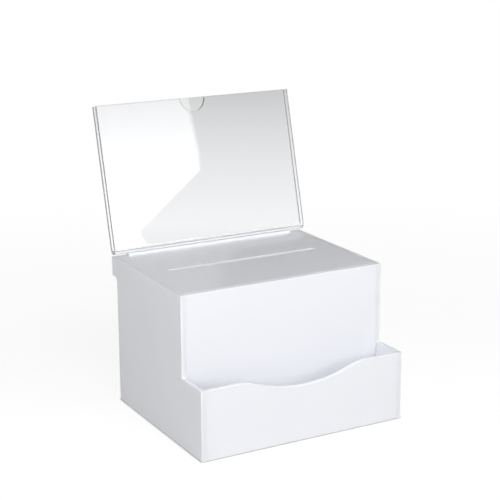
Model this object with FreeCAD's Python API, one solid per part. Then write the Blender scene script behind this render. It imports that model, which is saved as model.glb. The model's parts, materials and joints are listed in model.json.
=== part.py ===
import FreeCAD, Part
import math
import os

# Countertop ballot box of white acrylic sheet: a brochure pocket in front, a hinged lid with a slot,
# a clear folded sign holder on the lid, and a cam lock in the rear wall that holds the lid shut.
# Millimetres. X runs along the width, Y from the front to the rear, and Z up.
# The origin is the centre of the footprint, on the underside of the base.

# Box
width = 158.0
body_depth = 104.0
body_height = 107.0
sheet = 3.0
edge_break = 0.3

# Brochure pocket
pocket_depth = 28.0
pocket_height = 49.5
pocket_corner_radius = 1.0
scoop_margin = 25.0
scoop_dip = 9.6
scoop_shoulder_share = 0.27

# Ears that carry the hinge, on the side panels
ear_depth = 8.0
ear_height = 14.0
ear_corner_radius = 3.0

# Lid
lid_clearance = 0.4
ledge_width = 5.0
slot_width = 5.0
slot_margin = 16.1

# Hinge
knuckle_length = 8.0
knuckle_wall_clearance = 0.4
knuckle_lid_clearance = 0.6
knuckle_side_clearance = 0.5
pin_radius = 1.5
pin_seat = 8.0
pin_running_clearance = 0.05
pin_end_clearance = 0.3

# Sign holder
holder_sheet = 2.5
holder_gap = 3.0
holder_length = 103.5
holder_tilt = 14.5
holder_seat_flat = 0.3
notch_radius = 10.0
strip_height = 2.0
strip_width = 5.0

# Cam lock
lock_barrel_radius = 8.0
lock_barrel_length = 16.0
lock_flats = 13.8
lock_hole_clearance = 0.15
lock_flange_radius = 9.5
lock_flange_height = 2.2
lock_flange_rounding = 0.9
lock_washer_radius = 11.0
lock_washer_height = 1.0
lock_nut_flats = 20.0
lock_nut_height = 3.5
lock_nut_chamfer = 0.8
lock_nut_clearance = 0.05
plug_radius = 5.0
plug_head_radius = 6.2
plug_head_height = 1.2
plug_running_clearance = 0.05
plug_end_clearance = 0.15
keyway_length = 7.0
keyway_width = 1.4
keyway_depth = 9.0
stud_side = 6.0
stud_clearance = 0.05
stop_height = 1.0
stop_hub_radius = 5.4
stop_lug_width = 4.0
stop_clearance = 0.3
cam_reach = 22.0
cam_width = 11.0
cam_height = 2.0
cam_headroom = 4.0
screw_radius = 2.0
screw_length = 8.0
screw_head_radius = 3.8
screw_head_height = 2.2
screw_slot_width = 1.0
screw_slot_depth = 1.1

# Hook under the lid that the cam holds down
keeper_leg = 8.0
keeper_foot_height = 3.5
keeper_tip_overlap = 3.0
keeper_cam_gap = 0.5
keeper_inset = 2.0

# Length by which a cut runs past the surface that it opens, and the flatness used to pick edges
overrun = 2.0
flatness = 0.001

# Planes that the pieces share
inner_half = width / 2 - sheet
pocket_front_y = -(pocket_depth + body_depth) / 2
pocket_inner_y = pocket_front_y + sheet
body_front_y = pocket_front_y + pocket_depth
body_inner_y = body_front_y + sheet
rear_y = -pocket_front_y
rear_inner_y = rear_y - sheet
ear_rear_y = rear_y + ear_depth
lid_under_z = body_height - sheet
strip_top_z = body_height + strip_height

# Lid edges
lid_half = inner_half - lid_clearance
lid_front_y = body_inner_y + lid_clearance
lid_middle_y = (lid_front_y + ear_rear_y) / 2

# Hinge line, in the middle of the ears' depth and far enough under the lid for the knuckles
knuckle_radius = ear_depth / 2 - knuckle_wall_clearance
hinge_y = rear_y + ear_depth / 2
hinge_z = lid_under_z - knuckle_radius - knuckle_lid_clearance
barrel_half = inner_half - knuckle_length - knuckle_side_clearance

# Folded sign holder, measured from the axis of its bend
holder_half = holder_gap / 2 + holder_sheet
holder_side = holder_half + overrun
holder_top = holder_length + overrun

# Lock line, low enough for the raised cam to clear the lid
lock_z = lid_under_z - cam_reach - cam_headroom
lock_face_y = rear_y + lock_flange_height
lock_end_y = rear_y - lock_barrel_length
washer_end_y = rear_inner_y - lock_washer_height
plug_step_y = lock_face_y - plug_head_height
stop_rear_y = lock_end_y - plug_end_clearance
cam_rear_y = stop_rear_y - stop_height
cam_front_y = cam_rear_y - cam_height

vector = FreeCAD.Vector
x_axis = vector(1, 0, 0)
y_axis = vector(0, 1, 0)


def block(x_low, x_high, y_low, y_high, z_low, z_high):
    return Part.makeBox(x_high - x_low, y_high - y_low, z_high - z_low, vector(x_low, y_low, z_low))


def bar(edges, x_low, x_high):
    """Closed outline in the YZ plane, carried along X."""
    face = Part.Face(Part.Wire(edges))
    face.translate(vector(x_low, 0, 0))
    return face.extrude(vector(x_high - x_low, 0, 0))


def line(start, end):
    return Part.LineSegment(vector(*start), vector(*end)).toShape()


def arc(start, middle, end):
    return Part.Arc(vector(*start), vector(*middle), vector(*end)).toShape()


def polygon(points):
    return Part.makePolygon([vector(*point) for point in points + points[:1]]).Edges


def rounded(solid, radius, y, z):
    """Round the edge along X that passes through (y, z)."""
    point = Part.Vertex(vector(solid.BoundBox.Center.x, y, z))
    edges = [edge for edge in solid.Edges if edge.distToShape(point)[0] < flatness]
    return solid.makeFillet(radius, edges)


def broken(plate, axis, size=edge_break):
    """Break the sharp rims of a plate's two broad faces, which are square to the axis."""
    rims = [edge for edge in plate.Edges if getattr(edge.BoundBox, axis + "Length") < flatness]
    return plate.makeChamfer(size, rims)


def welded_plate(axis, welded, **sides):
    """Plate with the rims of its broad faces broken, but square along the sides that are welded."""
    grown = dict(sides)
    for side in welded:
        grown[side] += overrun if side.endswith("high") else -overrun
    return broken(block(**grown), axis).common(block(**sides))


def rod(radius, y_low, y_high):
    """Cylinder on the lock's axis."""
    return Part.makeCylinder(radius, y_high - y_low, vector(0, y_low, lock_z), y_axis)


def flatted_rod(radius, flats, y_low, y_high):
    """Cylinder on the lock's axis with two flats, one at each side."""
    half = flats / 2
    between = block(-half, half, y_low, y_high, lock_z - radius, lock_z + radius)
    return rod(radius, y_low, y_high).common(between)


def side_panel(side):
    """Sheet from the pocket's front to the ear, with its inner rims square where panels join it."""
    outer_x = side * width / 2
    inner_x = side * inner_half
    deep_x = side * (inner_half - overrun)
    outline = polygon([
        (0, pocket_front_y, 0),
        (0, pocket_front_y, pocket_height),
        (0, body_front_y, pocket_height),
        (0, body_front_y, body_height),
        (0, ear_rear_y, body_height),
        (0, ear_rear_y, body_height - ear_height),
        (0, rear_y, body_height - ear_height),
        (0, rear_y, 0),
    ])
    panel = bar(outline, min(outer_x, deep_x), max(outer_x, deep_x))
    panel = rounded(panel, pocket_corner_radius, body_front_y, pocket_height)
    panel = rounded(panel, ear_corner_radius, rear_y, body_height - ear_height)
    kept = block(min(outer_x, inner_x), max(outer_x, inner_x), pocket_front_y, ear_rear_y, 0, body_height)
    return broken(panel, "X").common(kept)


def front_panel():
    return welded_plate(
        "Y",
        ("x_low", "x_high", "z_low"),
        x_low=-inner_half,
        x_high=inner_half,
        y_low=body_front_y,
        y_high=body_inner_y,
        z_low=sheet,
        z_high=body_height,
    )


def base_panel():
    """Floor of the box and of the pocket, square all round because every side of it is welded."""
    return block(-inner_half, inner_half, pocket_inner_y, rear_inner_y, 0, sheet)


def rear_panel():
    panel = welded_plate(
        "Y",
        ("x_low", "x_high"),
        x_low=-inner_half,
        x_high=inner_half,
        y_low=rear_inner_y,
        y_high=rear_y,
        z_low=0,
        z_high=lid_under_z,
    )
    hole = flatted_rod(
        lock_barrel_radius + lock_hole_clearance,
        lock_flats + lock_hole_clearance + lock_hole_clearance,
        rear_inner_y - overrun,
        rear_y + overrun,
    )
    return panel.cut(hole)


def pocket_front_panel():
    """Sheet whose top edge dips in one arc, blended into the level ends by two shoulder arcs."""
    span = inner_half - scoop_margin
    turn = 2 * math.atan(scoop_dip / span)
    radii = span / math.sin(turn)
    shoulder = radii * scoop_shoulder_share
    bowl = radii - shoulder
    end = inner_half + overrun
    y = pocket_front_y

    def shoulder_point(side, angle):
        x = side * (span - shoulder * math.sin(angle))
        return (x, y, pocket_height - shoulder * (1 - math.cos(angle)))

    left_join = (-bowl * math.sin(turn), y, shoulder_point(-1, turn)[2])
    right_join = (bowl * math.sin(turn), y, left_join[2])
    outline = [
        line((-end, y, pocket_height), (-span, y, pocket_height)),
        arc((-span, y, pocket_height), shoulder_point(-1, turn / 2), left_join),
        arc(left_join, (0, y, pocket_height - scoop_dip), right_join),
        arc(right_join, shoulder_point(1, turn / 2), (span, y, pocket_height)),
        line((span, y, pocket_height), (end, y, pocket_height)),
        line((end, y, pocket_height), (end, y, 0)),
        line((end, y, 0), (-end, y, 0)),
        line((-end, y, 0), (-end, y, pocket_height)),
    ]
    panel = broken(Part.Face(Part.Wire(outline)).extrude(vector(0, sheet, 0)), "Y")
    return panel.common(block(-inner_half, inner_half, y, pocket_inner_y, 0, pocket_height))


def lid_ledge():
    return welded_plate(
        "Z",
        ("x_low", "x_high", "y_low"),
        x_low=-inner_half,
        x_high=inner_half,
        y_low=body_inner_y,
        y_high=body_inner_y + ledge_width,
        z_low=lid_under_z - sheet,
        z_high=lid_under_z,
    )


def hinge_knuckle(x_low):
    """Fixed knuckle: flat against the rear wall and round to the rear."""
    z_low = hinge_z - knuckle_radius
    z_high = hinge_z + knuckle_radius
    outline = [
        line((0, hinge_y, z_low), (0, rear_y, z_low)),
        line((0, rear_y, z_low), (0, rear_y, z_high)),
        line((0, rear_y, z_high), (0, hinge_y, z_high)),
        arc((0, hinge_y, z_high), (0, hinge_y + knuckle_radius, hinge_z), (0, hinge_y, z_low)),
    ]
    bore_radius = pin_radius + pin_running_clearance
    bore = Part.makeCylinder(bore_radius, knuckle_length, vector(x_low, hinge_y, hinge_z), x_axis)
    return broken(bar(outline, x_low, x_low + knuckle_length), "X").cut(bore)


def hinge_barrel():
    """Moving bar: flat on top, under the lid, and round below, about the hinge line."""
    y_low = hinge_y - knuckle_radius
    y_high = hinge_y + knuckle_radius
    outline = [
        line((0, y_low, hinge_z), (0, y_low, lid_under_z)),
        line((0, y_low, lid_under_z), (0, y_high, lid_under_z)),
        line((0, y_high, lid_under_z), (0, y_high, hinge_z)),
        arc((0, y_high, hinge_z), (0, hinge_y, hinge_z - knuckle_radius), (0, y_low, hinge_z)),
    ]
    barrel = broken(bar(outline, -barrel_half, barrel_half), "X")
    for x_low in (-barrel_half, barrel_half - pin_seat):
        seat = Part.makeCylinder(pin_radius, pin_seat, vector(x_low, hinge_y, hinge_z), x_axis)
        barrel = barrel.cut(seat)
    return barrel


def hinge_pin(side):
    """Steel pin pressed into the end of the barrel, which turns in the fixed knuckle."""
    inner_x = barrel_half - pin_seat
    outer_x = inner_half - pin_end_clearance
    x_low = min(side * inner_x, side * outer_x)
    pin = Part.makeCylinder(pin_radius, outer_x - inner_x, vector(x_low, hinge_y, hinge_z), x_axis)
    return broken(pin, "X")


def lid_panel():
    lid = block(-lid_half, lid_half, lid_front_y, ear_rear_y, lid_under_z, body_height)
    end_x = lid_half - slot_margin - slot_width / 2
    y_low = lid_middle_y - slot_width / 2
    slot = block(-end_x, end_x, y_low, y_low + slot_width, lid_under_z, body_height)
    for x in (-end_x, end_x):
        slot = slot.fuse(Part.makeCylinder(slot_width / 2, sheet, vector(x, lid_middle_y, lid_under_z)))
    return broken(lid.cut(slot.removeSplitter()), "Z")


def holder_strip():
    return welded_plate(
        "Z",
        ("z_low",),
        x_low=-barrel_half,
        x_high=barrel_half,
        y_low=ear_rear_y - strip_width,
        y_high=ear_rear_y,
        z_low=body_height,
        z_high=strip_top_z,
    )


def folded_sheet():
    """Clear sheet folded into a U, upright, with the fold's axis on X and a notch in the rear leaf."""
    inner = holder_gap / 2
    outer = holder_half
    top = holder_length
    outline = [
        line((0, -outer, top), (0, -outer, 0)),
        arc((0, -outer, 0), (0, 0, -outer), (0, outer, 0)),
        line((0, outer, 0), (0, outer, top)),
        line((0, outer, top), (0, inner, top)),
        line((0, inner, top), (0, inner, 0)),
        arc((0, inner, 0), (0, 0, -inner), (0, -inner, 0)),
        line((0, -inner, 0), (0, -inner, top)),
        line((0, -inner, top), (0, -outer, top)),
    ]
    folded = broken(bar(outline, -width / 2, width / 2), "X")
    return folded.cut(Part.makeCylinder(notch_radius, outer, vector(0, inner / 2, top), y_axis))


def sign_holder(y_low, y_high, z_low, z_high):
    """Stretch of the folded sheet between these planes, leant back, with its fold cemented flat."""
    ends = width / 2 + overrun
    stretch = folded_sheet().common(block(-ends, ends, y_low, y_high, z_low, z_high))
    bend_z = strip_top_z + holder_half - holder_seat_flat
    bend_y = hinge_y + (bend_z - body_height) * math.tan(math.radians(holder_tilt))
    stretch.rotate(vector(0, 0, 0), x_axis, -holder_tilt)
    stretch.translate(vector(0, bend_y, bend_z))
    below = block(-ends, ends, bend_y - holder_half, bend_y + holder_half, body_height, strip_top_z)
    return stretch.cut(below)


def lock_barrel():
    """Flanged housing with two flats, which the rear wall's hole keeps from turning, and a stop lug."""
    flange = rod(lock_flange_radius, rear_y, lock_face_y)
    rim = [edge for edge in flange.Edges if edge.BoundBox.YMin > lock_face_y - flatness]
    flange = flange.makeFillet(lock_flange_rounding, rim)
    barrel = flange.fuse(flatted_rod(lock_barrel_radius, lock_flats, lock_end_y, rear_y))
    barrel = barrel.cut(rod(plug_radius + plug_running_clearance, lock_end_y, lock_face_y))
    head_room = rod(plug_head_radius + plug_running_clearance, plug_step_y - plug_end_clearance, lock_face_y)
    half = stop_lug_width / 2
    lug_top_z = lock_z - stop_hub_radius - stop_clearance
    lug = rod(lock_barrel_radius, cam_rear_y + plug_end_clearance, lock_end_y)
    lug = lug.common(block(-half, half, cam_rear_y, lock_end_y, lock_z - lock_barrel_radius, lug_top_z))
    return barrel.cut(head_room).fuse(lug).removeSplitter()


def lock_washer():
    bore = rod(lock_barrel_radius + lock_hole_clearance, washer_end_y, rear_inner_y)
    return rod(lock_washer_radius, washer_end_y, rear_inner_y).cut(bore)


def lock_nut():
    y_low = washer_end_y - lock_nut_height
    corner = lock_nut_flats / math.sqrt(3)
    turns = [math.radians(60 * index) for index in range(6)]
    corners = [(corner * math.sin(turn), y_low, lock_z + corner * math.cos(turn)) for turn in turns]
    nut = Part.Face(Part.Wire(polygon(corners))).extrude(vector(0, lock_nut_height, 0))
    nut = nut.common(broken(rod(corner, y_low, washer_end_y), "Y", lock_nut_chamfer))
    return nut.cut(rod(lock_barrel_radius + lock_nut_clearance, y_low, washer_end_y))


def lock_plug():
    """Part that the key turns: a head with a keyway, a round body and a square stud for the cam."""
    half = stud_side / 2
    plug = rod(plug_head_radius, plug_step_y, lock_face_y)
    plug = plug.fuse(rod(plug_radius, stop_rear_y, plug_step_y))
    plug = plug.fuse(block(-half, half, cam_front_y, stop_rear_y, lock_z - half, lock_z + half))
    keyway = block(
        -keyway_width / 2,
        keyway_width / 2,
        lock_face_y - keyway_depth,
        lock_face_y,
        lock_z - keyway_length / 2,
        lock_z + keyway_length / 2,
    )
    thread = rod(screw_radius, cam_front_y, cam_front_y + screw_length)
    return plug.cut(keyway).cut(thread).removeSplitter()


def stud_hole(y_low, y_high):
    half = stud_side / 2 + stud_clearance
    return block(-half, half, y_low, y_high, lock_z - half, lock_z + half)


def stop_washer():
    """Washer on the stud whose open quarter lets the barrel's lug pass through a quarter turn."""
    edge = stop_lug_width / 2 + stop_clearance
    reach = lock_barrel_radius
    quarter = block(-edge, reach, cam_rear_y, stop_rear_y, lock_z - reach, lock_z + edge)
    washer = rod(reach, cam_rear_y, stop_rear_y).cut(quarter)
    washer = washer.fuse(rod(stop_hub_radius, cam_rear_y, stop_rear_y))
    return washer.cut(stud_hole(cam_rear_y, stop_rear_y)).removeSplitter()


def lock_cam():
    """Flat cam on the stud, pointing up, as it stands when the box is unlocked."""
    half = cam_width / 2
    tip_z = lock_z + cam_reach - half
    cam = block(-half, half, cam_front_y, cam_rear_y, lock_z, tip_z)
    for z in (lock_z, tip_z):
        end = Part.makeCylinder(half, cam_height, vector(0, cam_front_y, z), y_axis)
        cam = cam.fuse(end)
    return cam.cut(stud_hole(cam_front_y, cam_rear_y)).removeSplitter()


def cam_screw():
    head_y = cam_front_y - screw_head_height
    head = rod(screw_head_radius, head_y, cam_front_y)
    rim = [edge for edge in head.Edges if edge.BoundBox.YMax < head_y + flatness]
    head = head.makeFillet(screw_head_height / 2, rim)
    screw = head.fuse(rod(screw_radius, cam_front_y, cam_front_y + screw_length))
    reach = screw_head_radius / 2
    half = screw_slot_width / 2
    slot_end_y = head_y + screw_slot_depth
    upright = block(-half, half, head_y, slot_end_y, lock_z - reach, lock_z + reach)
    level = block(-reach, reach, head_y, slot_end_y, lock_z - half, lock_z + half)
    return screw.cut(upright.fuse(level)).removeSplitter()


def lock_keeper():
    """Hook of sheet under the lid; its foot lies below the cam when the cam is turned across."""
    x_high = cam_reach - keeper_inset
    leg_rear_y = cam_front_y - keeper_cam_gap
    leg_front_y = leg_rear_y - keeper_leg
    foot_rear_y = cam_rear_y + keeper_tip_overlap
    foot_top_z = lock_z - cam_width / 2 - keeper_cam_gap
    foot_z = foot_top_z - keeper_foot_height
    outline = polygon([
        (0, leg_front_y, lid_under_z),
        (0, leg_front_y, foot_z),
        (0, foot_rear_y, foot_z),
        (0, foot_rear_y, foot_top_z),
        (0, leg_rear_y, foot_top_z),
        (0, leg_rear_y, lid_under_z),
    ])
    return broken(bar(outline, x_high - sheet, x_high), "X")


nodes = {
    "left_side_panel": side_panel(-1),
    "right_side_panel": side_panel(1),
    "front_panel": front_panel(),
    "rear_panel": rear_panel(),
    "base_panel": base_panel(),
    "pocket_front_panel": pocket_front_panel(),
    "lid_ledge": lid_ledge(),
    "left_hinge_knuckle": hinge_knuckle(-inner_half),
    "right_hinge_knuckle": hinge_knuckle(inner_half - knuckle_length),
    "lock_barrel": lock_barrel(),
    "lock_washer": lock_washer(),
    "lock_nut": lock_nut(),
    "lid_panel": lid_panel(),
    "hinge_barrel": hinge_barrel(),
    "left_hinge_pin": hinge_pin(-1),
    "right_hinge_pin": hinge_pin(1),
    "holder_strip": holder_strip(),
    "sign_holder_front": sign_holder(-holder_side, 0, 0, holder_top),
    "sign_holder_rear": sign_holder(0, holder_side, 0, holder_top),
    "sign_holder_fold": sign_holder(-holder_side, holder_side, -holder_side, 0),
    "lock_keeper": lock_keeper(),
    "lock_plug": lock_plug(),
    "stop_washer": stop_washer(),
    "lock_cam": lock_cam(),
    "cam_screw": cam_screw(),
}

os.makedirs("parts", exist_ok=True)
for name, shape in nodes.items():
    shape.exportStep("parts/" + name + ".step")
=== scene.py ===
import json
import math

import bmesh
import bpy
from mathutils import Matrix, Vector


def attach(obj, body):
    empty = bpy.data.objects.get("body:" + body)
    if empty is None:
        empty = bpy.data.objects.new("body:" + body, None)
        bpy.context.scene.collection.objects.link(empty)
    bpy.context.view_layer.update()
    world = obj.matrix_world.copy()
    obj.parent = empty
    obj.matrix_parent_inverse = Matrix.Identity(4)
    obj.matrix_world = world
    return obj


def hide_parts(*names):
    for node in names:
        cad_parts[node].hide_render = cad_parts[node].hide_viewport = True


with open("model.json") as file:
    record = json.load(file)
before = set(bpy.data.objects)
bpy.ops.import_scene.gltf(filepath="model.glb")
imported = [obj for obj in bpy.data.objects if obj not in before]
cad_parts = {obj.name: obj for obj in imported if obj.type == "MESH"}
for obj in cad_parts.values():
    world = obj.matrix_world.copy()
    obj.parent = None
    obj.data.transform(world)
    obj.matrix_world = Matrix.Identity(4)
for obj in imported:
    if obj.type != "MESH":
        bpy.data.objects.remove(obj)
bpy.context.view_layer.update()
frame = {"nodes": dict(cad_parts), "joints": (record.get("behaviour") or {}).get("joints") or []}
nodes = frame["nodes"]
lock_place = next(joint["pos_m"] for joint in frame["joints"] if joint["name"] == "lock_turn")

ACROSS = Vector((1.0, 0.0, 0.0))
UPWARD = Vector((0.0, 0.0, 1.0))
WHITE = (1.0, 1.0, 1.0, 1.0)
OPAQUE = 1.0

# Camera, in metres and degrees, with the focal length in pixels and the sensor in millimetres
VIEW_TARGET = Vector((-0.0008, 0.0090, 0.1166))
VIEW_DISTANCE = 0.9857
VIEW_AZIMUTH = -28.9
VIEW_ELEVATION = 15.2
VIEW_ROLL = -0.28
IMAGE_PIXELS = 500
FOCAL_PIXELS = 1394
SENSOR_WIDTH = 36.0

# Softboxes: place, width and height in metres, and watts
SOFTBOXES = {
    "key": (Vector((0.0, -0.79, 0.73)), (1.35, 1.35), 14.2),
    "fill": (Vector((-1.10, -0.40, 0.30)), (0.7, 0.7), 5.95),
    "top": (Vector((0.1, 0.0, 1.20)), (0.8, 0.8), 0.55),
    "rear": (Vector((0.45, 1.10, 0.11)), (1.2, 0.2), 6.7),
}
AIM = Vector((0.0, 0.04, 0.14))

# Softbox faces as gloss mirrors them, in metres
FACE_GLOW = 2.25
FACE_PLACE = Vector((-0.14, -0.78, 0.70))
KEY_FACE = [
    (0.74, 0.31),
    (0.70, -0.11),
    (0.745, -0.23),
    (0.753, -0.265),
    (0.21, -0.755),
    (-0.31, -0.74),
    (-0.74, -0.31),
    (-0.74, 0.31),
    (-0.31, 0.74),
    (0.31, 0.74),
]
LOW_FACE = [(0.62, -0.34), (0.72, -0.46), (0.72, -0.75), (0.2, -0.75), (0.2, -0.34)]

# Between no bounce of a ray and one
FIRST_BOUNCE = 0.5

# Room: its light on the object, and what gloss mirrors of it; a range is low, high and the values there
AMBIENT = 0.01
FULL_GLOW = 1.0
ROOM_FRONT = 0.35
ROOM_DEPTHS = (-0.3, 0.2, 0.0, 1.0)
ROOM_HEIGHTS = (0.06, 0.22, 0.95, 0.34)

# Floor: shadows show near the object; mirrored, it has a painted shadow close to the object and fades
# with the distance in metres
FLOOR_SIZE = 12.0
FLOOR_COLOUR = (0.5, 0.5, 0.5, 1.0)
SHADOW_COLOUR = (0.2, 0.2, 0.2, 1.0)
SHADOW_GLOW = 0.86
SHADOW_REACH = (0.25, 0.70, 0.0, 1.0)
CONTACT_REACH = 0.002
CONTACT_POWER = 1.3
FLOOR_PAINTED_SHADOW = (0.25, 0.55, 0.85, 1.08)
FLOOR_FAR = (0.55, 1.5, 1.0, 0.63)

# Sockets of the Mix node, which names its sockets alike for numbers and for colours
MIX_NUMBER = (0, 2, 3)
MIX_COLOUR = (0, 6, 7)
MIX_NUMBER_RESULT = 0
MIX_COLOUR_RESULT = 2

# White sheet, with noise scales per metre and bump depths in metres
UNSCALED = 1.0
ACRYLIC_INDEX = 1.49
SHEET_COLOUR = (0.872, 0.882, 0.922)
SHEET_SHADE = (0.857, 0.867, 0.908)
SHEET_DEPTH = 0.0006
SHEET_SPREAD = (1.0, 1.0, 1.0)
SHEET_CLOUD_SCALE = 20.0
SHEET_HAZE_SCALE = 160.0
SHEET_HAZE_DETAIL = 6.0
SHEET_HAZE = (0.3, 0.75, 0.025, 0.06)
SHEET_WAVE_SCALE = 28.0
SHEET_WAVE_STRENGTH = 0.04
SHEET_WAVE_DEPTH = 0.0004
EDGE_FACING = (0.95, 0.85, 0.0, 1.0)
EDGE_SATIN = (0.3, 0.7, 0.16, 0.24)
CUTTER_SCALE = 1500.0
CUTTER_LENGTH_SCALE = 60.0
CUTTER_STRENGTH = 0.08
CUTTER_DEPTH = 0.00004
BROAD_AXIS = {
    "left_side_panel": 0,
    "right_side_panel": 0,
    "front_panel": 1,
    "rear_panel": 1,
    "pocket_front_panel": 1,
    "base_panel": 2,
    "lid_panel": 2,
    "lid_ledge": 2,
    "holder_strip": 2,
    "left_hinge_knuckle": 0,
    "right_hinge_knuckle": 0,
    "hinge_barrel": 0,
    "lock_keeper": 0,
}

# Clear sheet of the sign holder: colour, clarity and the least and greatest roughness
CLEAR_COLOUR = (0.965, 0.968, 0.975)
CLEAR_FACE = (CLEAR_COLOUR, 1.0, 0.0, 0.02)
CLEAR_CUT = ((0.62, 0.63, 0.66), 0.4, 0.35, 0.5)
CLEAR_BEND = ((0.98, 0.982, 0.985), 0.75, 0.01, 0.05)
CLEAR_HAZE_SCALE = 120.0
CLEAR_HAZE_DETAIL = 5.0
CLEAR_HAZE = (0.35, 0.8)
CLEAR_WAVE_SCALE = 22.0
CLEAR_WAVE_STRENGTH = 0.012
CLEAR_WAVE_DEPTH = 0.0004
BROAD_DETAIL = 1.0

# Metals: bright and dull colours, least and greatest roughness, and the grain's strength
CHROME = ((0.82, 0.82, 0.83), (0.74, 0.74, 0.76), 0.08, 0.16, 0.1)
STEEL = ((0.62, 0.62, 0.63), (0.50, 0.51, 0.53), 0.24, 0.38, 0.3)
METAL_CLOUD_SCALE = 350.0
METAL_CLOUD_DETAIL = 4.0
METAL_CLOUD = (0.3, 0.7)
METAL_GRAIN_SCALE = 4000.0
METAL_GRAIN_DEPTH = 0.00002
CHROME_NODES = ("lock_barrel", "lock_plug", "lock_nut")
STEEL_NODES = ("lock_washer", "stop_washer", "lock_cam", "cam_screw", "left_hinge_pin", "right_hinge_pin")

# Edges of the scene's own meshes that turn further than this stay sharp
SHARP_DEGREES = 25

# Mesh of the sign holder, in metres and degrees; its finishes are counted from 0
HOLDER_NODES = ("sign_holder_front", "sign_holder_rear", "sign_holder_fold")
CUT_FINISH = 1
BEND_FINISH = 2
SQUARE_TO = 0.5
LEVEL_DEGREES = 0.5
WELD = 0.000002
FLAT = 0.00001

# Thread on the lock barrel, in metres, with the root and the crest of its ridge
THREAD_LEAD = 0.0007
THREAD_PITCH = 0.001
THREAD_TURNS = 7
THREAD_STEPS = 12
THREAD_RADII = (0.0079, 0.0082)
THREAD_HALF_WIDTHS = (0.00036, 0.00008)
THREAD_FLAT = 0.0068


def feed(tree, socket, value):
    """Link a value that is a socket, and set any other."""
    if isinstance(value, bpy.types.NodeSocket):
        tree.links.new(value, socket)
    else:
        socket.default_value = value


def add_node(tree, kind, **inputs):
    made = tree.nodes.new(kind)
    for name, value in inputs.items():
        feed(tree, made.inputs[name.replace("_", " ")], value)
    return made


def math_node(tree, operation, *values, clamp=False):
    made = tree.nodes.new("ShaderNodeMath")
    made.operation = operation
    made.use_clamp = clamp
    for socket, value in zip(made.inputs, values):
        feed(tree, socket, value)
    return made.outputs[0]


def remap(tree, value, low, high, to_low, to_high):
    limits = {"From_Min": low, "From_Max": high, "To_Min": to_low, "To_Max": to_high}
    return add_node(tree, "ShaderNodeMapRange", Value=value, **limits).outputs["Result"]


def blend(tree, share, first, second):
    """Number between the first and the second by the share."""
    made = tree.nodes.new("ShaderNodeMix")
    for index, value in zip(MIX_NUMBER, (share, first, second)):
        feed(tree, made.inputs[index], value)
    return made.outputs[MIX_NUMBER_RESULT]


def blend_colour(tree, share, first, second):
    made = tree.nodes.new("ShaderNodeMix")
    made.data_type = "RGBA"
    for index, value in zip(MIX_COLOUR, (share, (*first, OPAQUE), (*second, OPAQUE))):
        feed(tree, made.inputs[index], value)
    return made.outputs[MIX_COLOUR_RESULT]


def mix_shaders(tree, share, first, second):
    made = tree.nodes.new("ShaderNodeMixShader")
    for socket, value in zip(made.inputs, (share, first, second)):
        tree.links.new(value, socket)
    return made.outputs[0]


def noise(tree, place, scale, detail=2.0):
    return add_node(tree, "ShaderNodeTexNoise", Vector=place, Scale=scale, Detail=detail).outputs["Fac"]


def stretched(tree, place, scales):
    return add_node(tree, "ShaderNodeMapping", Vector=place, Scale=scales).outputs["Vector"]


def bump(tree, height, strength, distance, **below):
    made = add_node(tree, "ShaderNodeBump", Height=height, Strength=strength, Distance=distance, **below)
    return made.outputs["Normal"]


def new_material(name):
    made = bpy.data.materials.new(name)
    made.use_nodes = True
    return made, made.node_tree, made.node_tree.nodes["Principled BSDF"]


def bare_material(name):
    """Material without its first shader."""
    made, tree, shader = new_material(name)
    tree.nodes.remove(shader)
    return made, tree


def show(tree, surface):
    tree.links.new(surface, tree.nodes["Material Output"].inputs["Surface"])


def white_sheet(axis):
    """Glossy white cast sheet whose broad faces are square to the axis, with satin cut edges."""
    made, tree, shader = new_material("white_acrylic_" + "xyz"[axis])
    place = tree.nodes.new("ShaderNodeTexCoord")
    spot = place.outputs["Object"]
    parts = add_node(tree, "ShaderNodeSeparateXYZ", Vector=place.outputs["Normal"])
    facing = math_node(tree, "ABSOLUTE", parts.outputs[axis])
    edge = remap(tree, facing, *EDGE_FACING)

    cloud = noise(tree, spot, SHEET_CLOUD_SCALE)
    feed(tree, shader.inputs["Base Color"], blend_colour(tree, cloud, SHEET_SHADE, SHEET_COLOUR))

    haze = remap(tree, noise(tree, spot, SHEET_HAZE_SCALE, SHEET_HAZE_DETAIL), *SHEET_HAZE)
    satin = remap(tree, cloud, *EDGE_SATIN)
    feed(tree, shader.inputs["Roughness"], blend(tree, edge, haze, satin))

    scales = [CUTTER_SCALE] * 3
    scales[axis] = CUTTER_LENGTH_SCALE
    cutter = noise(tree, stretched(tree, spot, scales), UNSCALED)
    marks = math_node(tree, "MULTIPLY", cutter, edge)
    swell = noise(tree, spot, SHEET_WAVE_SCALE, BROAD_DETAIL)
    wave = bump(tree, swell, SHEET_WAVE_STRENGTH, SHEET_WAVE_DEPTH)
    feed(tree, shader.inputs["Normal"], bump(tree, marks, CUTTER_STRENGTH, CUTTER_DEPTH, Normal=wave))

    shader.inputs["IOR"].default_value = ACRYLIC_INDEX
    shader.inputs["Subsurface Weight"].default_value = 1.0
    shader.inputs["Subsurface Radius"].default_value = SHEET_SPREAD
    shader.inputs["Subsurface Scale"].default_value = SHEET_DEPTH
    return made


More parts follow.
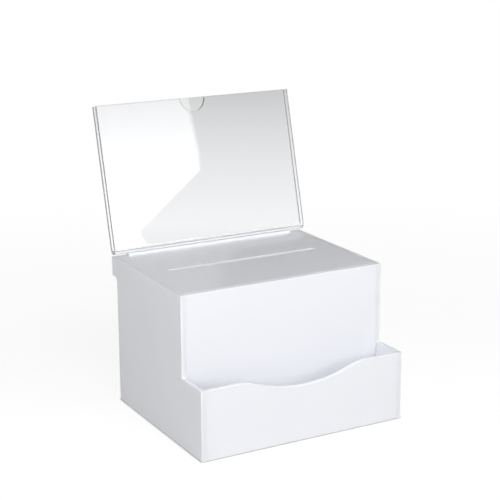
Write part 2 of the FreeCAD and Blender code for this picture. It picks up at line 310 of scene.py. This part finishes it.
def clear_sheet(name, colour, clarity, least, greatest):
    """Clear sheet with a faint waviness; light from the lamps passes through it."""
    made, tree, shader = new_material(name)
    spot = tree.nodes.new("ShaderNodeTexCoord").outputs["Object"]
    shader.inputs["Base Color"].default_value = (*colour, OPAQUE)
    shader.inputs["Transmission Weight"].default_value = clarity
    shader.inputs["IOR"].default_value = ACRYLIC_INDEX
    haze = noise(tree, spot, CLEAR_HAZE_SCALE, CLEAR_HAZE_DETAIL)
    feed(tree, shader.inputs["Roughness"], remap(tree, haze, *CLEAR_HAZE, least, greatest))
    swell = noise(tree, spot, CLEAR_WAVE_SCALE, BROAD_DETAIL)
    feed(tree, shader.inputs["Normal"], bump(tree, swell, CLEAR_WAVE_STRENGTH, CLEAR_WAVE_DEPTH))

    path = tree.nodes.new("ShaderNodeLightPath")
    through = add_node(tree, "ShaderNodeBsdfTransparent", Color=(*CLEAR_COLOUR, OPAQUE))
    show(tree, mix_shaders(tree, path.outputs["Is Shadow Ray"], shader.outputs[0], through.outputs[0]))
    return made


def metal(name, bright, dull, least, greatest, grain):
    """Metal with a clouded tone and a fine grain."""
    made, tree, shader = new_material(name)
    spot = tree.nodes.new("ShaderNodeTexCoord").outputs["Object"]
    cloud = noise(tree, spot, METAL_CLOUD_SCALE, METAL_CLOUD_DETAIL)
    feed(tree, shader.inputs["Base Color"], blend_colour(tree, cloud, dull, bright))
    feed(tree, shader.inputs["Roughness"], remap(tree, cloud, *METAL_CLOUD, least, greatest))
    fine = noise(tree, spot, METAL_GRAIN_SCALE)
    feed(tree, shader.inputs["Normal"], bump(tree, fine, grain, METAL_GRAIN_DEPTH))
    shader.inputs["Metallic"].default_value = 1.0
    return made


def dress(piece, finish):
    piece.data.materials.clear()
    piece.data.materials.append(finish)


def new_piece(name, mesh):
    data = bpy.data.meshes.new(name)
    mesh.to_mesh(data)
    mesh.free()
    for polygon in data.polygons:
        polygon.use_smooth = True
    data.set_sharp_from_angle(angle=math.radians(SHARP_DEGREES))
    piece = bpy.data.objects.new(name, data)
    bpy.context.scene.collection.objects.link(piece)
    return piece


def thread_section(angle):
    """Corners of the ridge where the helix passes an angle about the lock's axis."""
    axis_x, barrel_end, axis_z = lock_place
    root, crest = THREAD_RADII
    wide, narrow = THREAD_HALF_WIDTHS
    middle = barrel_end + THREAD_LEAD + THREAD_PITCH * angle / math.tau
    corners = []
    for radius, side in ((root, -wide), (crest, -narrow), (crest, narrow), (root, wide)):
        across = radius * math.sin(angle)
        height = radius * math.cos(angle)
        corners.append((axis_x + across, middle + side, axis_z + height))
    return corners


def add_ridge(mesh, sections):
    """Closed ridge through sections of equal count."""
    rows = [[mesh.verts.new(corner) for corner in section] for section in sections]
    count = len(rows[0])
    for row, following in zip(rows, rows[1:]):
        for index in range(count):
            after = (index + 1) % count
            mesh.faces.new((row[index], row[after], following[after], following[index]))
    mesh.faces.new(rows[0])
    mesh.faces.new(rows[-1])


def lock_thread(finish):
    """Helical ridge on the lock barrel's inner end, broken by the barrel's two flats."""
    mesh = bmesh.new()
    reach = math.asin(THREAD_FLAT / THREAD_RADII[1])
    shares = [2 * step / THREAD_STEPS - 1 for step in range(THREAD_STEPS + 1)]
    for half_turn in range(2 * THREAD_TURNS):
        add_ridge(mesh, [thread_section(half_turn * math.pi + reach * share) for share in shares])
    bmesh.ops.recalc_face_normals(mesh, faces=mesh.faces)
    thread = new_piece("lock_thread", mesh)
    dress(thread, finish)
    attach(thread, "box")


def joined_holder():
    """The folded clear sheet as one closed mesh: the solids' meshes without the faces where they meet."""
    front = nodes[HOLDER_NODES[0]].data
    facing = max(front.polygons, key=lambda polygon: polygon.area).normal
    along = ACROSS.cross(facing)
    if along.z < 0.0:
        along = -along
    bend_level = min(vertex.co.dot(along) for vertex in front.vertices)

    mesh = bmesh.new()
    for name in HOLDER_NODES:
        mesh.from_mesh(nodes[name].data)
    inside = [
        face for face in mesh.faces
        if all(abs(vertex.co.dot(along) - bend_level) < FLAT for vertex in face.verts)
    ]
    bmesh.ops.delete(mesh, geom=inside, context="FACES")
    bmesh.ops.remove_doubles(mesh, verts=mesh.verts, dist=WELD)
    flat_angle = math.radians(LEVEL_DEGREES)
    bmesh.ops.dissolve_limit(mesh, angle_limit=flat_angle, verts=mesh.verts, edges=mesh.edges)

    for face in mesh.faces:
        in_leaf = face.calc_center_median().dot(along) > bend_level + FLAT
        top_edge = in_leaf and abs(face.normal.dot(facing)) < SQUARE_TO
        if top_edge or abs(face.normal.x) > SQUARE_TO:
            face.material_index = CUT_FINISH
        elif not in_leaf:
            face.material_index = BEND_FINISH
    return new_piece("sign_holder", mesh)


def sign_holder(finishes):
    holder = joined_holder()
    weighted = holder.modifiers.new("flat_leaves", "WEIGHTED_NORMAL")
    weighted.keep_sharp = True
    for finish in finishes:
        holder.data.materials.append(finish)
    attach(holder, "lid")
    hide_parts(*HOLDER_NODES)


def dress_part():
    sheets = [white_sheet(axis) for axis in range(3)]
    for name, axis in BROAD_AXIS.items():
        dress(nodes[name], sheets[axis])
    chrome = metal("lock_chrome", *CHROME)
    for name in CHROME_NODES:
        dress(nodes[name], chrome)
    lock_thread(chrome)
    steel = metal("zinc_steel", *STEEL)
    for name in STEEL_NODES:
        dress(nodes[name], steel)
    clear = clear_sheet("clear_acrylic", *CLEAR_FACE)
    for name in HOLDER_NODES:
        dress(nodes[name], clear)
    cut = clear_sheet("clear_acrylic_cut", *CLEAR_CUT)
    bend = clear_sheet("clear_acrylic_bend", *CLEAR_BEND)
    sign_holder((clear, cut, bend))


def seen_share(tree, path):
    """1 for what the camera sees, straight or through gloss and glass, and 0 for light on the object."""
    direct = math_node(tree, "ADD", path.outputs["Is Camera Ray"], path.outputs["Is Glossy Ray"])
    direct = math_node(tree, "ADD", direct, path.outputs["Is Transmission Ray"], clamp=True)
    straight = math_node(tree, "LESS_THAN", path.outputs["Diffuse Depth"], FIRST_BOUNCE)
    return math_node(tree, "MULTIPLY", direct, straight)


def emission(tree, strength):
    return add_node(tree, "ShaderNodeEmission", Color=WHITE, Strength=strength).outputs[0]


def room_glow(tree):
    """What gloss mirrors of the room: pale low down behind the object, darker above and in front."""
    place = tree.nodes.new("ShaderNodeTexCoord")
    direction = add_node(tree, "ShaderNodeSeparateXYZ", Vector=place.outputs["Generated"])
    rear = remap(tree, direction.outputs["Z"], *ROOM_HEIGHTS)
    return blend(tree, remap(tree, direction.outputs["Y"], *ROOM_DEPTHS), ROOM_FRONT, rear)


def make_world():
    world = bpy.data.worlds.new("studio")
    world.use_nodes = True
    bpy.context.scene.world = world
    tree = world.node_tree
    path = tree.nodes.new("ShaderNodeLightPath")
    mirrored = math_node(tree, "GREATER_THAN", path.outputs["Glossy Depth"], FIRST_BOUNCE)
    shown = blend(tree, mirrored, FULL_GLOW, room_glow(tree))
    light = add_node(tree, "ShaderNodeBackground", Color=WHITE, Strength=AMBIENT)
    backdrop = add_node(tree, "ShaderNodeBackground", Color=WHITE, Strength=shown)
    mixed = mix_shaders(tree, seen_share(tree, path), light.outputs[0], backdrop.outputs[0])
    tree.links.new(mixed, tree.nodes["World Output"].inputs["Surface"])


def flat_card(name, corners, finish):
    data = bpy.data.meshes.new(name)
    data.from_pydata(corners, [], [range(len(corners))])
    card = bpy.data.objects.new(name, data)
    bpy.context.scene.collection.objects.link(card)
    dress(card, finish)
    return card


def shadowed_floor(tree):
    """Floor near the object as the camera sees it: almost white, with soft and contact shadows."""
    shade = add_node(tree, "ShaderNodeBsdfDiffuse", Color=SHADOW_COLOUR)
    open_share = add_node(tree, "ShaderNodeAmbientOcclusion", Distance=CONTACT_REACH).outputs["AO"]
    open_share = math_node(tree, "POWER", open_share, CONTACT_POWER)
    glow = emission(tree, math_node(tree, "MULTIPLY", open_share, SHADOW_GLOW))
    made = tree.nodes.new("ShaderNodeAddShader")
    tree.links.new(shade.outputs[0], made.inputs[0])
    tree.links.new(glow, made.inputs[1])
    return made.outputs[0]


def make_floor():
    """Pale floor: white to the camera but for the object's shadow; in glass, a painted shadow close to
    the object and a fade to the rear.
    """
    made, tree = bare_material("floor")
    path = tree.nodes.new("ShaderNodeLightPath")
    spot = tree.nodes.new("ShaderNodeTexCoord").outputs["Object"]
    length = tree.nodes.new("ShaderNodeVectorMath")
    length.operation = "LENGTH"
    tree.links.new(spot, length.inputs[0])
    distance = length.outputs["Value"]

    plain = add_node(tree, "ShaderNodeBsdfDiffuse", Color=FLOOR_COLOUR)
    far_share = remap(tree, distance, *SHADOW_REACH)
    to_camera = mix_shaders(tree, far_share, shadowed_floor(tree), emission(tree, FULL_GLOW))
    # Painted shadow in gloss and glass: the floor's glow is dimmer close to the object and brighter
    # further out
    painted_shadow = remap(tree, distance, *FLOOR_PAINTED_SHADOW)
    faded = emission(tree, math_node(tree, "MULTIPLY", painted_shadow, remap(tree, distance, *FLOOR_FAR)))
    shown = mix_shaders(tree, path.outputs["Is Camera Ray"], faded, to_camera)
    show(tree, mix_shaders(tree, seen_share(tree, path), plain.outputs[0], shown))

    half = FLOOR_SIZE / 2
    corners = [(-half, -half, 0.0), (half, -half, 0.0), (half, half, 0.0), (-half, half, 0.0)]
    flat_card("floor", corners, made)


def softbox(name, place, size, watts):
    """Softbox that lights the object and isn't seen itself."""
    lamp = bpy.data.lights.new(name, "AREA")
    lamp.shape = "RECTANGLE"
    lamp.size, lamp.size_y = size
    lamp.energy = watts
    stand = bpy.data.objects.new(name, lamp)
    stand.location = place
    stand.rotation_euler = (place - AIM).to_track_quat("Z", "Y").to_euler()
    stand.visible_camera = False
    stand.visible_glossy = False
    stand.visible_transmission = False
    bpy.context.scene.collection.objects.link(stand)


def mirrored_card(name, outline, finish):
    """Card that stands for a softbox's face and shows only in gloss."""
    facing = (AIM - FACE_PLACE).normalized()
    across = facing.cross(UPWARD).normalized()
    upward = across.cross(facing)
    corners = [FACE_PLACE + across * x + upward * y for x, y in outline]
    card = flat_card(name, corners, finish)
    card.visible_camera = False
    card.visible_diffuse = False
    card.visible_shadow = False


def make_faces():
    made, tree = bare_material("softbox_face")
    show(tree, emission(tree, FACE_GLOW))
    mirrored_card("key_face", KEY_FACE, made)
    mirrored_card("low_face", LOW_FACE, made)


def make_camera():
    azimuth = math.radians(VIEW_AZIMUTH)
    elevation = math.radians(VIEW_ELEVATION)
    level = math.cos(elevation)
    back = Vector((math.sin(azimuth) * level, -math.cos(azimuth) * level, math.sin(elevation)))
    right = UPWARD.cross(back).normalized()
    upward = back.cross(right)
    turned = Matrix((right, upward, back)).transposed().to_4x4()
    data = bpy.data.cameras.new("camera")
    data.sensor_width = SENSOR_WIDTH
    data.lens = FOCAL_PIXELS / IMAGE_PIXELS * SENSOR_WIDTH
    camera = bpy.data.objects.new("camera", data)
    roll = Matrix.Rotation(math.radians(VIEW_ROLL), 4, "Z")
    camera.matrix_world = Matrix.Translation(VIEW_TARGET + back * VIEW_DISTANCE) @ turned @ roll
    bpy.context.scene.collection.objects.link(camera)
    bpy.context.scene.camera = camera


dress_part()
make_world()
make_floor()
make_faces()
for name, (place, size, watts) in SOFTBOXES.items():
    softbox(name, place, size, watts)
make_camera()
bpy.context.scene.view_settings.view_transform = "Standard"

bpy.context.view_layer.update()
